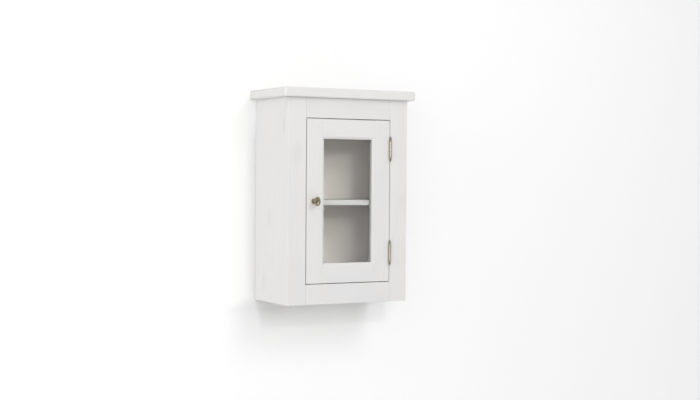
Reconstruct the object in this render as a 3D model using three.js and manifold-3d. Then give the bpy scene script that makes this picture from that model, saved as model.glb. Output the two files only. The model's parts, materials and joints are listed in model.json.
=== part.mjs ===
// Wall cabinet in white-washed pine with one glazed door, a shelf on pins, two finial hinges,
// a turned knob, a magnetic catch and two keyhole hangers.
//
// Millimetres. +X is the viewer's right, -Y is the front, +Z is up, and the wall is the plane y = 0.
// The origin is the middle of the hanging rail's rear face. Inside the cabinet group, z is measured
// from the underside of the case.

import * as THREE from 'three';
import { mergeVertices } from 'three/addons/utils/BufferGeometryUtils.js';
import Module from 'manifold-3d';

const wasm = await Module();
wasm.setup();

// ---------------------------------------------------------------- driving dimensions

const CASE_WIDTH = 410;
const CASE_DEPTH = 230;
const CASE_HEIGHT = 622;
const SIDE_THICK = 20;

const TOP_THICK = 28;
const TOP_OVERHANG = 20;
const TOP_CORNER_RADIUS = 10;
const TOP_EDGE_ROUND = 4;

const FRAME_THICK = 20; // the face frame and the door, front to back
const OPENING_WIDTH = 290;
const OPENING_HEIGHT = 500;
const DOOR_GAP = 2;

const FLOOR_THICK = 18;
const BACK_THICK = 4;
const RAIL_THICK = 18; // the rails between the back panel and the wall
const RAIL_HEIGHT = 60;
const GROOVE_DEPTH = 6;
const LOOSE = 0.25; // clearance on each side of a loose or let-in piece

const DOOR_MEMBER = 60; // width of a door stile or rail
const SPLAY_WIDTH = 7; // sloping edge round the glass
const SPLAY_DEPTH = 5;
const GLASS_SETBACK = 12; // door front to glass front
const GLASS_THICK = 4;
const REBATE = 8; // glass rebate, measured from the edge of the sight opening
const TENON_LENGTH = 15;
const TENON_THICK = 8;
const TENON_SHOULDER = 8;

const SHELF_THICK = 16;
const SHELF_UNDERSIDE = 298;
const SHELF_FRONT = -204;
const PIN_RADIUS = 2.5;
const PIN_REACH = 8; // how far a pin goes into the side, and how far it stands out
const PIN_ROWS_Y = [-176, -52];
const PIN_PITCH = 32;
const PIN_HOLES_EACH_WAY = 2; // spare holes above and below the pin in use

const HINGE_HEIGHTS = { upper: 471, lower: 151 };
const BARREL_RADIUS = 4;
const BARREL_LENGTH = 50;
const DOOR_KNUCKLE = 16.5;
const HINGE_PIN_RADIUS = 1.75;
const HINGE_PIN_LENGTH = 54;
const KNUCKLE_GAP = 0.35;
const LEAF_THICK = 0.75;
const LEAF_WIDTH = 18;
const HINGE_SCREW_SPREAD = 30;
const HINGE_SCREW_LENGTH = 12;
// [radius, height above the barrel] up the finial: collar, waist, vase and button
const FINIAL_PROFILE = [
  [0, 0], [3.9, 0], [4.3, 0.8], [3.9, 1.6], [2.6, 2.4], [2.6, 3.4], [3.4, 4.6], [3.7, 6.4],
  [3.2, 8.2], [2, 9.6], [1.4, 10.6], [1.9, 11.8], [1.7, 13.2], [0.8, 14], [0, 14.2],
];

const KNOB_X = -118;
const KNOB_Z = 311;
const ROSETTE_RADIUS = 8.5;
const ROSETTE_THICK = 2.5;
const KNOB_CENTRE_OUT = 22; // door front to the middle of the oval head
const KNOB_HALF = { x: 9, y: 6, z: 14 };
// [radius, distance out from the rosette] along the waisted neck, up to the head
const KNOB_NECK = [[5.5, 0], [5.5, 1.5], [4, 4], [3.6, 8], [4.6, 12]];
const KNOB_NECK_END = 5; // radius of the neck where it meets the middle of the head
const KNOB_SCREW_RADIUS = 2;
const KNOB_SCREW_REACH = 9; // how far the screw goes into the knob
const KNOB_SCREW_HEAD = { radius: 4, height: 2, rim: 0.8, dome: 1.2 };

const HANGER_X = 140;
const HANGER_WIDTH = 20;
const HANGER_HEIGHT = 46;
const HANGER_THICK = 1.5;
const KEYHOLE_ENTRY_RADIUS = 5;
const KEYHOLE_SLOT_WIDTH = 5;
const KEYHOLE_TRAVEL = 11; // entry centre to slot end centre
const HANGER_POCKET = { x: 14, y: 10, z: 28 };
const HANGER_SCREW_LENGTH = 12;
const HANGER_SCREW_INSET = 4; // from the plate's end

const CATCH_X = -115;
const CATCH_BLOCK = { x: 28, y: 13, z: 12 };
const CATCH_EAR = { x: 46, y: 10, z: 2 };
const MAGNET = { x: 20, y: 10, z: 7 };
const STRIKE = { x: 24, y: 1, z: 10 };
const STRIKE_ABOVE_DOOR_EDGE = 1;
const CATCH_TO_STRIKE = 0.5; // gap when the door is shut
const CATCH_SCREW_LENGTH = 12;
const CATCH_SCREW_INSET = 4.5; // from the ear's end
const STRIKE_SCREW_LENGTH = 12;

const SCREW_HEAD_RADIUS = 2.7;
const SCREW_HEAD_DEPTH = 1.5;
const SCREW_SHANK_RADIUS = 1.4;
const SCREW_POINT = 2;

const ROUND_STEPS = 16;

// ---------------------------------------------------------------- worked-out places

const FRONT = -CASE_DEPTH;
const FRAME_BACK = FRONT + FRAME_THICK;
const OUTER_X = CASE_WIDTH / 2;
const INNER_X = OUTER_X - SIDE_THICK;
const OPENING_X = OPENING_WIDTH / 2;
const OPENING_Z0 = (CASE_HEIGHT - OPENING_HEIGHT) / 2;
const OPENING_Z1 = OPENING_Z0 + OPENING_HEIGHT;
const BACK_FRONT = -RAIL_THICK - BACK_THICK;
const DOOR_X = OPENING_X - DOOR_GAP;
const DOOR_Z0 = OPENING_Z0 + DOOR_GAP;
const DOOR_Z1 = OPENING_Z1 - DOOR_GAP;
const HINGE_AXIS_X = OPENING_X - DOOR_GAP / 2;
const HINGE_AXIS_Y = FRONT - BARREL_RADIUS - LOOSE;
const GLASS_FRONT = FRONT + GLASS_SETBACK;
const GLASS_BACK = GLASS_FRONT + GLASS_THICK;
const RAIL_CENTRE_Z = CASE_HEIGHT - RAIL_HEIGHT / 2;
const HINGE_SCREW_Y = FRAME_BACK - FRAME_THICK / 2;
const KNOB_SCREW_END = FRONT - ROSETTE_THICK - KNOB_SCREW_REACH;
const CATCH_SCREW_X = [-1, 1].map((side) => CATCH_X + side * (CATCH_EAR.x / 2 - CATCH_SCREW_INSET));
const CATCH_FRONT = FRAME_BACK + STRIKE.y + CATCH_TO_STRIKE;
const CATCH_SCREW_Y = CATCH_FRONT + CATCH_BLOCK.y / 2;
const STRIKE_Z = DOOR_Z0 + STRIKE_ABOVE_DOOR_EDGE + STRIKE.z / 2;

// ---------------------------------------------------------------- materials

const finish = (color, roughness, metalness = 0, more = {}) => () =>
  new THREE.MeshStandardMaterial({ color, roughness, metalness, ...more });

const washedPine = finish(0xe4e2df, 0.6);
const washedPly = finish(0xd9d6d0, 0.65);
const clearGlass = finish(0xe8efee, 0.05, 0, { transparent: true, opacity: 0.3 });
const agedBrass = finish(0xb8ae9e, 0.4, 0.9);
const darkBrass = finish(0x8a8064, 0.45, 0.9);
const zincSteel = finish(0xb9bbbd, 0.35, 0.9);
const catchPlastic = finish(0xefeeea, 0.5);
const magnetDark = finish(0x2e2e30, 0.6);

// ---------------------------------------------------------------- shaping helpers

// A box from its two ends along each axis.
function block([x0, x1], [y0, y1], [z0, z1]) {
  const geometry = new THREE.BoxGeometry(x1 - x0, y1 - y0, z1 - z0);
  return geometry.translate((x0 + x1) / 2, (y0 + y1) / 2, (z0 + z1) / 2);
}

// A flat outline of [x, z] points, given front and back depth.
function prism(points, y0, y1) {
  const shape = new THREE.Shape(points.map(([x, z]) => new THREE.Vector2(x, z)));
  const geometry = new THREE.ExtrudeGeometry(shape, { depth: y1 - y0, bevelEnabled: false });
  return geometry.rotateX(Math.PI / 2).translate(0, y1, 0);
}

// A turned solid from [radius, along] points. It runs along +Z.
function turned(points, steps = ROUND_STEPS) {
  const profile = points.map(([r, along]) => new THREE.Vector2(r, along));
  return new THREE.LatheGeometry(profile, steps).rotateX(Math.PI / 2);
}

// A plain rod along +Z.
const rod = (radius, z0, z1, steps) =>
  turned([[0, z0], [radius, z0], [radius, z1], [0, z1]], steps);

// Turns a solid that runs along +Z so that it runs along another axis.
const AIM = {
  '+x': (geometry) => geometry.rotateY(Math.PI / 2),
  '-x': (geometry) => geometry.rotateY(-Math.PI / 2),
  '-y': (geometry) => geometry.rotateX(Math.PI / 2),
  '-z': (geometry) => geometry.rotateX(Math.PI),
};

function toSolid(geometry) {
  const bare = geometry.clone();
  bare.deleteAttribute('normal');
  bare.deleteAttribute('uv');
  const merged = mergeVertices(bare, 1e-4);
  return new wasm.Manifold(
    new wasm.Mesh({
      numProp: 3,
      vertProperties: merged.attributes.position.array,
      triVerts: new Uint32Array(merged.index.array),
    }),
  );
}

function toGeometry(solid) {
  const { vertProperties, triVerts } = solid.getMesh();
  const geometry = new THREE.BufferGeometry();
  geometry.setAttribute('position', new THREE.BufferAttribute(vertProperties, 3));
  geometry.setIndex(new THREE.BufferAttribute(triVerts, 1));
  geometry.computeVertexNormals();
  return geometry;
}

function combine(how, first, others) {
  const start = toSolid(first);
  return toGeometry(others.reduce((solid, other) => solid[how](toSolid(other)), start));
}

const cut = (geometry, ...tools) => combine('subtract', geometry, tools);
const join = (geometry, ...others) => combine('add', geometry, others);

function part(name, geometry, material) {
  const mesh = new THREE.Mesh(geometry, material());
  mesh.name = name;
  return mesh;
}

function at(mesh, x, y, z) {
  mesh.position.set(x, y, z);
  return mesh;
}

// ---------------------------------------------------------------- screws

// Countersunk screw. Its flat head is at z = 0 and it runs along +Z.
function screwGeometry(length, extra = 0) {
  return turned([
    [0, 0],
    [SCREW_HEAD_RADIUS + extra, 0],
    [SCREW_SHANK_RADIUS + extra, SCREW_HEAD_DEPTH],
    [SCREW_SHANK_RADIUS + extra, length - SCREW_POINT + extra],
    [0, length + extra],
  ]);
}

function screw(name, length, aim, place) {
  return at(part(name, AIM[aim](screwGeometry(length)), zincSteel), ...place);
}

function screwHole(length, aim, place) {
  return AIM[aim](screwGeometry(length, LOOSE)).translate(...place);
}

// Every hinge screw on one kind of leaf ('frame' or 'door'): its name, its place and the way it points.
function hingeScrews(leaf) {
  const side = leaf === 'frame' ? 1 : -1;
  const rows = [];
  for (const [hinge, middle] of Object.entries(HINGE_HEIGHTS)) {
    for (const number of [1, 2]) {
      const z = middle + (number === 1 ? 0.5 : -0.5) * HINGE_SCREW_SPREAD;
      const x = HINGE_AXIS_X + side * LOOSE;
      rows.push({
        name: `${hinge}_hinge_${leaf}_screw_${number}`,
        place: [x, HINGE_SCREW_Y, z],
        aim: side > 0 ? '+x' : '-x',
      });
    }
  }
  return rows;
}

// ---------------------------------------------------------------- case

function shelfPinHoles(side) {
  const holes = [];
  for (const y of PIN_ROWS_Y) {
    for (let step = -PIN_HOLES_EACH_WAY; step <= PIN_HOLES_EACH_WAY; step++) {
      const z = SHELF_UNDERSIDE - PIN_RADIUS + step * PIN_PITCH;
      const hole = rod(PIN_RADIUS + LOOSE, -1, PIN_REACH + LOOSE, 12);
      holes.push(AIM[side > 0 ? '+x' : '-x'](hole).translate(side * INNER_X, y, z));
    }
  }
  return holes;
}

function sidePanel(name, side) {
  const [inner, outer] = [side * INNER_X, side * OUTER_X];
  const board = block([Math.min(inner, outer), Math.max(inner, outer)], [FRAME_BACK, 0], [0, CASE_HEIGHT]);
  const grooveFloor = inner + side * GROOVE_DEPTH;
  const grooveMouth = inner - side;
  const groove = block(
    [Math.min(grooveMouth, grooveFloor), Math.max(grooveMouth, grooveFloor)],
    [BACK_FRONT - LOOSE, -RAIL_THICK + LOOSE],
    [-1, CASE_HEIGHT + 1],
  );
  return part(name, cut(board, groove, ...shelfPinHoles(side)), washedPine);
}

// The board has rounded front corners and softened edges, and a square back edge on the wall.
function topBoard() {
  const half = OUTER_X + TOP_OVERHANG;
  const front = FRONT - TOP_OVERHANG;
  const beyondWall = 20;
  const outline = new THREE.Shape();
  outline.moveTo(-half, beyondWall);
  outline.lineTo(-half, front + TOP_CORNER_RADIUS);
  outline.absarc(-half + TOP_CORNER_RADIUS, front + TOP_CORNER_RADIUS,
    TOP_CORNER_RADIUS, Math.PI, 1.5 * Math.PI, false);
  outline.absarc(half - TOP_CORNER_RADIUS, front + TOP_CORNER_RADIUS,
    TOP_CORNER_RADIUS, 1.5 * Math.PI, 2 * Math.PI, false);
  outline.lineTo(half, beyondWall);
  const board = new THREE.ExtrudeGeometry(outline, {
    depth: TOP_THICK - 2 * TOP_EDGE_ROUND,
    bevelThickness: TOP_EDGE_ROUND,
    bevelSize: TOP_EDGE_ROUND,
    bevelOffset: -TOP_EDGE_ROUND,
    bevelSegments: 4,
    curveSegments: 6,
  }).translate(0, 0, CASE_HEIGHT + TOP_EDGE_ROUND);
  const behindWall = block([-half - 1, half + 1], [0, beyondWall + 1],
    [CASE_HEIGHT - 1, CASE_HEIGHT + TOP_THICK + 1]);
  return part('top_board', cut(board, behindWall), washedPine);
}

// The face frame covers the front edges of the side panels.
function faceFrame() {
  const depth = [FRONT, FRAME_BACK];
  const holes = hingeScrews('frame').map(({ aim, place }) => screwHole(HINGE_SCREW_LENGTH, aim, place));
  const rightStile = block([OPENING_X, OUTER_X], depth, [0, CASE_HEIGHT]);
  return [
    part('face_left_stile', block([-OUTER_X, -OPENING_X], depth, [0, CASE_HEIGHT]), washedPine),
    part('face_right_stile', cut(rightStile, ...holes), washedPine),
    part('face_top_rail', block([-OPENING_X, OPENING_X], depth, [OPENING_Z1, CASE_HEIGHT]), washedPine),
    part('face_bottom_rail', block([-OPENING_X, OPENING_X], depth, [0, OPENING_Z0]), washedPine),
  ];
}

function bottomPanel() {
  const panel = block([-INNER_X, INNER_X], [FRAME_BACK, BACK_FRONT],
    [OPENING_Z0 - FLOOR_THICK, OPENING_Z0]);
  const holes = CATCH_SCREW_X.map((x) =>
    screwHole(CATCH_SCREW_LENGTH, '-z', [x, CATCH_SCREW_Y, OPENING_Z0 + CATCH_EAR.z]));
  return part('bottom_panel', cut(panel, ...holes), washedPine);
}

function backPanel() {
  const half = INNER_X + GROOVE_DEPTH - LOOSE;
  return part('back_panel', block([-half, half], [BACK_FRONT, -RAIL_THICK], [0, CASE_HEIGHT]), washedPly);
}

function hangerScrewPlaces(side) {
  const rise = HANGER_HEIGHT / 2 - HANGER_SCREW_INSET;
  return [1, -1].map((up) => [side * HANGER_X, 0, RAIL_CENTRE_Z + up * rise]);
}

function hangingRail() {
  const rail = block([-INNER_X, INNER_X], [-RAIL_THICK, 0], [CASE_HEIGHT - RAIL_HEIGHT, CASE_HEIGHT]);
  const tools = [];
  for (const side of [-1, 1]) {
    const x = side * HANGER_X;
    const seat = HANGER_THICK;
    const wide = HANGER_WIDTH / 2 + LOOSE;
    const tall = HANGER_HEIGHT / 2 + LOOSE;
    tools.push(block([x - wide, x + wide], [-seat, 1], [RAIL_CENTRE_Z - tall, RAIL_CENTRE_Z + tall]));
    tools.push(block(
      [x - HANGER_POCKET.x / 2, x + HANGER_POCKET.x / 2],
      [-seat - HANGER_POCKET.y, 0],
      [RAIL_CENTRE_Z - HANGER_POCKET.z / 2, RAIL_CENTRE_Z + HANGER_POCKET.z / 2],
    ));
    for (const place of hangerScrewPlaces(side)) tools.push(screwHole(HANGER_SCREW_LENGTH, '-y', place));
  }
  return part('hanging_rail', cut(rail, ...tools), washedPine);
}

function lowerBackRail() {
  const rail = block([-INNER_X, INNER_X], [-RAIL_THICK, 0], [0, RAIL_HEIGHT]);
  return part('lower_back_rail', rail, washedPine);
}

// Keyhole plate let in flush with the rail: a round entry below, a narrow slot above it.
function hanger(name, side) {
  const [x, z] = [side * HANGER_X, RAIL_CENTRE_Z];
  const entryZ = z - KEYHOLE_TRAVEL / 2;
  const slotZ = z + KEYHOLE_TRAVEL / 2;
  const through = (radius, height) =>
    AIM['-y'](rod(radius, -1, HANGER_THICK + 1)).translate(x, 0, height);
  const plate = block([x - HANGER_WIDTH / 2, x + HANGER_WIDTH / 2], [-HANGER_THICK, 0],
    [z - HANGER_HEIGHT / 2, z + HANGER_HEIGHT / 2]);
  const slot = block([x - KEYHOLE_SLOT_WIDTH / 2, x + KEYHOLE_SLOT_WIDTH / 2],
    [-HANGER_THICK - 1, 1], [entryZ, slotZ]);
  const holes = hangerScrewPlaces(side).map((place) => screwHole(HANGER_SCREW_LENGTH, '-y', place));
  return part(name, cut(plate, through(KEYHOLE_ENTRY_RADIUS, entryZ),
    through(KEYHOLE_SLOT_WIDTH / 2, slotZ), slot, ...holes), zincSteel);
}

function hangers() {
  const pieces = [];
  for (const [word, side] of [['left', -1], ['right', 1]]) {
    pieces.push(hanger(`${word}_hanger_plate`, side));
    hangerScrewPlaces(side).forEach((place, i) => {
      pieces.push(screw(`${word}_hanger_screw_${i + 1}`, HANGER_SCREW_LENGTH, '-y', place));
    });
  }
  return pieces;
}

// ---------------------------------------------------------------- shelf

function shelfPin(name, side, y) {
  const bead = 0.8;
  const pin = turned([
    [0, -PIN_REACH], [PIN_RADIUS - bead, -PIN_REACH], [PIN_RADIUS, -PIN_REACH + bead],
    [PIN_RADIUS, PIN_REACH - bead], [PIN_RADIUS - bead, PIN_REACH], [0, PIN_REACH],
  ], 12);
  const aimed = AIM[side > 0 ? '+x' : '-x'](pin);
  return at(part(name, aimed, zincSteel), side * INNER_X, y, SHELF_UNDERSIDE - PIN_RADIUS);
}

function shelfWithPins() {
  const half = INNER_X - 0.5;
  const board = block([-half, half], [SHELF_FRONT, BACK_FRONT - 1],
    [SHELF_UNDERSIDE, SHELF_UNDERSIDE + SHELF_THICK]);
  const pieces = [part('shelf', board, washedPine)];
  for (const [word, side] of [['left', -1], ['right', 1]]) {
    ['front', 'back'].forEach((place, i) => {
      pieces.push(shelfPin(`shelf_pin_${place}_${word}`, side, PIN_ROWS_Y[i]));
    });
  }
  return pieces;
}

// ---------------------------------------------------------------- door

// The sloping edge round the glass, as a tool that widens towards the front.
function splayTool() {
  const [x, z0, z1] = [DOOR_X - DOOR_MEMBER, DOOR_Z0 + DOOR_MEMBER, DOOR_Z1 - DOOR_MEMBER];
  const shape = new THREE.Shape([[-x, z0], [x, z0], [x, z1], [-x, z1]]
    .map(([px, pz]) => new THREE.Vector2(px, pz)));
  const proud = 2;
  return new THREE.ExtrudeGeometry(shape, {
    depth: proud,
    bevelThickness: SPLAY_DEPTH,
    bevelSize: SPLAY_WIDTH,
    bevelSegments: 1,
  }).rotateX(Math.PI / 2).translate(0, FRONT, 0);
}

function rebateTool() {
  const inset = DOOR_MEMBER - REBATE;
  return block([-DOOR_X + inset, DOOR_X - inset], [GLASS_FRONT, FRAME_BACK + 1],
    [DOOR_Z0 + inset, DOOR_Z1 - inset]);
}

// A stile runs the full height. Its splayed strip stops at the mitres in the corners.
function doorStile(name, side, extraTools) {
  const flat = DOOR_MEMBER - SPLAY_WIDTH;
  const outer = side * DOOR_X;
  const shoulder = side * (DOOR_X - flat);
  const sight = side * (DOOR_X - DOOR_MEMBER);
  const outline = [
    [outer, DOOR_Z0], [shoulder, DOOR_Z0], [shoulder, DOOR_Z0 + flat], [sight, DOOR_Z0 + DOOR_MEMBER],
    [sight, DOOR_Z1 - DOOR_MEMBER], [shoulder, DOOR_Z1 - flat], [shoulder, DOOR_Z1], [outer, DOOR_Z1],
  ];
  const mortises = [-1, 1].map((end) => tenon(side, end, LOOSE));
  const board = prism(outline, FRONT, FRAME_BACK);
  return part(name, cut(board, splayTool(), rebateTool(), ...mortises, ...extraTools), washedPine);
}

// The tenon at one end of a rail: side is the stile it enters, end is -1 for the bottom rail.
function tenon(side, end, extra = 0) {
  const flat = DOOR_MEMBER - SPLAY_WIDTH;
  const root = side * (DOOR_X - flat);
  const tip = root + side * (TENON_LENGTH + extra);
  const inward = root - side;
  const middle = (FRONT + FRAME_BACK) / 2;
  const edge = end < 0 ? DOOR_Z0 : DOOR_Z1;
  const zs = [edge - end * (TENON_SHOULDER - extra), edge - end * (flat - TENON_SHOULDER + extra)];
  return block(
    [Math.min(inward, tip), Math.max(inward, tip)],
    [middle - TENON_THICK / 2 - extra, middle + TENON_THICK / 2 + extra],
    [Math.min(...zs), Math.max(...zs)],
  );
}

function doorRail(name, end) {
  const flat = DOOR_MEMBER - SPLAY_WIDTH;
  const edge = end < 0 ? DOOR_Z0 : DOOR_Z1;
  const outline = [
    [-DOOR_X + flat, edge], [DOOR_X - flat, edge], [DOOR_X - flat, edge - end * flat],
    [DOOR_X - DOOR_MEMBER, edge - end * DOOR_MEMBER], [-DOOR_X + DOOR_MEMBER, edge - end * DOOR_MEMBER],
    [-DOOR_X + flat, edge - end * flat],
  ];
  const shaped = cut(prism(outline, FRONT, FRAME_BACK), splayTool(), rebateTool());
  return part(name, join(shaped, tenon(-1, end), tenon(1, end)), washedPine);
}

// Four beads hold the glass from behind: the upright ones run full height.
function glassAndBeads() {
  const inset = DOOR_MEMBER - REBATE;
  const loose = 2 * LOOSE;
  const [x, z0, z1] = [DOOR_X - inset, DOOR_Z0 + inset, DOOR_Z1 - inset];
  const glass = block([-x + loose, x - loose], [GLASS_FRONT, GLASS_BACK], [z0 + loose, z1 - loose]);
  const depth = [GLASS_BACK, FRAME_BACK];
  const width = REBATE - 0.5;
  const pieces = [part('door_glass', glass, clearGlass)];
  for (const [word, side] of [['left', -1], ['right', 1]]) {
    const ends = [side * (x - LOOSE), side * (x - LOOSE - width)];
    pieces.push(part(`glazing_bead_${word}`,
      block([Math.min(...ends), Math.max(...ends)], depth, [z0 + LOOSE, z1 - LOOSE]), washedPine));
  }
  const reach = x - 2 * LOOSE - width;
  for (const [word, from] of [['bottom', z0 + LOOSE], ['top', z1 - LOOSE - width]]) {
    pieces.push(part(`glazing_bead_${word}`,
      block([-reach, reach], depth, [from, from + width]), washedPine));
  }
  return pieces;
}

// The oval head and its waisted neck are one casting, tapped from behind for its screw.
function knob() {
  const outline = KNOB_NECK.map(([radius, out]) => [radius, ROSETTE_THICK + out]);
  const neck = AIM['-y'](turned([
    [0, ROSETTE_THICK], ...outline, [KNOB_NECK_END, KNOB_CENTRE_OUT], [0, KNOB_CENTRE_OUT],
  ]));
  const head = new THREE.SphereGeometry(1, 20, 14)
    .scale(KNOB_HALF.x, KNOB_HALF.y, KNOB_HALF.z)
    .translate(0, -KNOB_CENTRE_OUT, 0);
  const hole = AIM['-y'](rod(KNOB_SCREW_RADIUS + LOOSE, -1, FRONT - KNOB_SCREW_END + LOOSE, 12));
  return at(part('knob', cut(join(neck, head), hole), darkBrass), KNOB_X, FRONT, KNOB_Z);
}

function rosette() {
  const disc = AIM['-y'](turned([
    [0, 0], [ROSETTE_RADIUS, 0], [ROSETTE_RADIUS, 1], [ROSETTE_RADIUS - 1.5, ROSETTE_THICK],
    [0, ROSETTE_THICK],
  ], 20));
  const hole = AIM['-y'](rod(KNOB_SCREW_RADIUS + LOOSE, -1, ROSETTE_THICK + 1, 12));
  return at(part('knob_rosette', cut(disc, hole), darkBrass), KNOB_X, FRONT, KNOB_Z);
}

// The screw's pan head sits on the door's rear face.
function knobScrew() {
  const { radius, height, rim, dome } = KNOB_SCREW_HEAD;
  const length = FRAME_BACK - KNOB_SCREW_END;
  const geometry = AIM['-y'](turned([
    [0, -height], [radius - dome, -height], [radius, -rim], [radius, 0],
    [KNOB_SCREW_RADIUS, 0], [KNOB_SCREW_RADIUS, length], [0, length],
  ]));
  return at(part('knob_screw', geometry, zincSteel), KNOB_X, FRAME_BACK, KNOB_Z);
}

function door() {
  const group = new THREE.Group();
  const knobHole = AIM['-y'](rod(KNOB_SCREW_RADIUS + LOOSE, -1, FRAME_THICK + 1, 12))
    .translate(KNOB_X, FRAME_BACK, KNOB_Z);
  const strikeHole = screwHole(STRIKE_SCREW_LENGTH, '-y', [CATCH_X, FRAME_BACK + STRIKE.y, STRIKE_Z]);
  const hingeHoles = hingeScrews('door')
    .map(({ aim, place }) => screwHole(HINGE_SCREW_LENGTH, aim, place));
  group.add(
    doorStile('door_left_stile', -1, [knobHole, strikeHole]),
    doorStile('door_right_stile', 1, hingeHoles),
    doorRail('door_bottom_rail', -1),
    doorRail('door_top_rail', 1),
    ...glassAndBeads(),
    knob(),
    rosette(),
    knobScrew(),
  );
  return group;
}

// ---------------------------------------------------------------- hinges

// One leaf with its knuckles. Its group's origin is on the barrel axis, half way up.
function hingeLeaf(name, side, knuckles) {
  const xs = [side * LOOSE, side * (LOOSE + LEAF_THICK)];
  const across = [Math.min(...xs), Math.max(...xs)];
  const leafFront = BARREL_RADIUS + LOOSE;
  const half = BARREL_LENGTH / 2;
  const plate = block(across, [leafFront, leafFront + LEAF_WIDTH], [-half, half]);
  const rolls = knuckles.flatMap(([z0, z1]) => [
    rod(BARREL_RADIUS, z0, z1, 20),
    block(across, [0, leafFront + 1], [z0, z1]),
  ]);
  const bore = rod(HINGE_PIN_RADIUS + LOOSE, -half - 1, half + 1, 16);
  const screwY = HINGE_SCREW_Y - HINGE_AXIS_Y;
  const holes = [-0.5, 0.5].map((up) =>
    screwHole(HINGE_SCREW_LENGTH, side > 0 ? '+x' : '-x', [side * LOOSE, screwY, up * HINGE_SCREW_SPREAD]));
  return part(name, cut(join(plate, ...rolls), bore, ...holes), agedBrass);
}

// A turned finial that caps one end of the pin. It runs away from the barrel along +Z.
function finialGeometry() {
  const start = BARREL_LENGTH / 2 + LOOSE;
  const pinEnd = HINGE_PIN_LENGTH / 2;
  const solid = turned(FINIAL_PROFILE.map(([radius, up]) => [radius, start + up]));
  return cut(solid, rod(HINGE_PIN_RADIUS + LOOSE, start - 1, pinEnd + LOOSE, 16));
}

function hinge(word, height) {
  const group = new THREE.Group();
  const half = BARREL_LENGTH / 2;
  const doorHalf = DOOR_KNUCKLE / 2;
  const frameStart = doorHalf + KNUCKLE_GAP;
  const pinEnd = HINGE_PIN_LENGTH / 2;
  group.add(
    hingeLeaf(`${word}_hinge_frame_leaf`, 1, [[-half, -frameStart], [frameStart, half]]),
    hingeLeaf(`${word}_hinge_door_leaf`, -1, [[-doorHalf, doorHalf]]),
    part(`${word}_hinge_pin`, rod(HINGE_PIN_RADIUS, -pinEnd, pinEnd, 16), agedBrass),
    part(`${word}_hinge_finial_top`, finialGeometry(), agedBrass),
    part(`${word}_hinge_finial_bottom`, AIM['-z'](finialGeometry()), agedBrass),
  );
  group.position.set(HINGE_AXIS_X, HINGE_AXIS_Y, height);
  return group;
}

function hinges() {
  const group = new THREE.Group();
  for (const [word, height] of Object.entries(HINGE_HEIGHTS)) group.add(hinge(word, height));
  for (const leaf of ['frame', 'door']) {
    for (const { name, place, aim } of hingeScrews(leaf)) {
      group.add(screw(name, HINGE_SCREW_LENGTH, aim, place));
    }
  }
  return group;
}

// ---------------------------------------------------------------- magnetic catch

// The case stands on the cabinet floor behind the door. A pocket in its front holds the magnet.
function magneticCatch() {
  const group = new THREE.Group();
  const z0 = OPENING_Z0;
  const body = block(
    [CATCH_X - CATCH_BLOCK.x / 2, CATCH_X + CATCH_BLOCK.x / 2],
    [CATCH_FRONT, CATCH_FRONT + CATCH_BLOCK.y],
    [z0, z0 + CATCH_BLOCK.z],
  );
  const ears = block(
    [CATCH_X - CATCH_EAR.x / 2, CATCH_X + CATCH_EAR.x / 2],
    [CATCH_SCREW_Y - CATCH_EAR.y / 2, CATCH_SCREW_Y + CATCH_EAR.y / 2],
    [z0, z0 + CATCH_EAR.z],
  );
  const magnetBox = (extra) => block(
    [CATCH_X - MAGNET.x / 2 - extra, CATCH_X + MAGNET.x / 2 + extra],
    [CATCH_FRONT - extra, CATCH_FRONT + MAGNET.y + extra],
    [z0 + CATCH_BLOCK.z / 2 - MAGNET.z / 2 - extra, z0 + CATCH_BLOCK.z / 2 + MAGNET.z / 2 + extra],
  );
  const holes = CATCH_SCREW_X.map((x) =>
    screwHole(CATCH_SCREW_LENGTH, '-z', [x, CATCH_SCREW_Y, z0 + CATCH_EAR.z]));
  group.add(
    part('catch_case', cut(join(body, ears), magnetBox(LOOSE), ...holes), catchPlastic),
    part('catch_magnet', magnetBox(0), magnetDark),
  );
  CATCH_SCREW_X.forEach((x, i) => {
    const place = [x, CATCH_SCREW_Y, z0 + CATCH_EAR.z];
    group.add(screw(`catch_screw_${i + 1}`, CATCH_SCREW_LENGTH, '-z', place));
  });
  const strikeScrewPlace = [CATCH_X, FRAME_BACK + STRIKE.y, STRIKE_Z];
  const plate = block([CATCH_X - STRIKE.x / 2, CATCH_X + STRIKE.x / 2],
    [FRAME_BACK, FRAME_BACK + STRIKE.y], [STRIKE_Z - STRIKE.z / 2, STRIKE_Z + STRIKE.z / 2]);
  group.add(
    part('strike_plate', cut(plate, screwHole(STRIKE_SCREW_LENGTH, '-y', strikeScrewPlace)), zincSteel),
    screw('strike_screw', STRIKE_SCREW_LENGTH, '-y', strikeScrewPlace),
  );
  return group;
}

// ---------------------------------------------------------------- the whole cabinet

const cabinet = new THREE.Group();
cabinet.add(
  sidePanel('left_side_panel', -1),
  sidePanel('right_side_panel', 1),
  topBoard(),
  ...faceFrame(),
  bottomPanel(),
  backPanel(),
  hangingRail(),
  lowerBackRail(),
  ...hangers(),
  ...shelfWithPins(),
  door(),
  hinges(),
  magneticCatch(),
);
cabinet.position.z = -RAIL_CENTRE_Z;

const root = new THREE.Group();
root.add(cabinet);

export default root;
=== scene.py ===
import json
import math

import bmesh
import bpy
from mathutils import Matrix, Vector


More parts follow.
